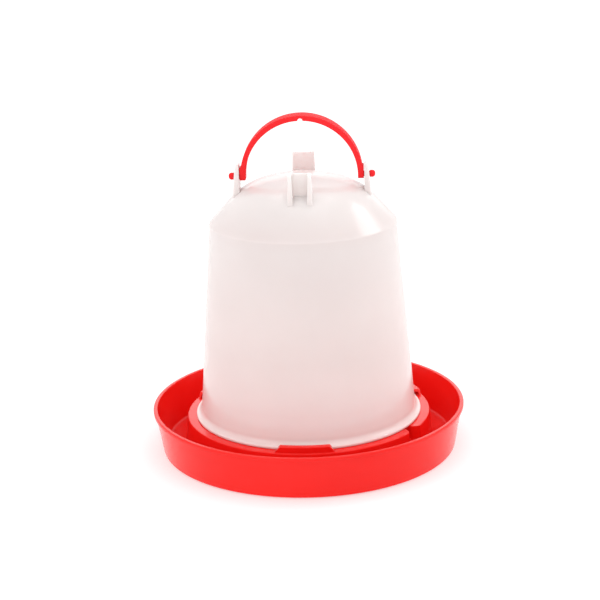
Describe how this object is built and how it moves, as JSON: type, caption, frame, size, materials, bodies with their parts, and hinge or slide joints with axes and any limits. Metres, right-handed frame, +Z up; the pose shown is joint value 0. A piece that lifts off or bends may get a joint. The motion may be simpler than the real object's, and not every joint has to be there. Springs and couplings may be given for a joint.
{
  "type": "poultry waterer fount",
  "caption": "Gravity poultry drinker: a round drinking tray with a raised seat and hooked catches carries an inverted translucent water jar with standing posts and a swinging bail.",
  "frame": {"origin": "centre of the circle the tray stands on, on the ground", "axes": "+Z up along the axis of tray and jar; the handle pivots along X; -Y is the front seen in the picture"},
  "size_m": [0.3, 0.3, 0.322],
  "materials": {
    "tray_plastic": "glossy injection-moulded",
    "fount_plastic": "milky translucent, semi-gloss",
    "handle_plastic": "glossy injection-moulded"
  },
  "bodies": {
    "tray": {"tray": "tray_plastic"},
    "fount": {"fount": "fount_plastic"},
    "handle": {"handle": "handle_plastic"}
  },
  "joints": [
    {"name": "fount_twist", "type": "hinge", "parent": "tray", "child": "fount", "pos_m": [0, 0, 0.033], "axis": [0, 0, 1], "range_deg": [-60, 60]},
    {"name": "handle_swing", "type": "hinge", "parent": "fount", "child": "handle", "pos_m": [0, 0, 0.265], "axis": [1, 0, 0], "range_deg": [-65, 65]}
  ]
}
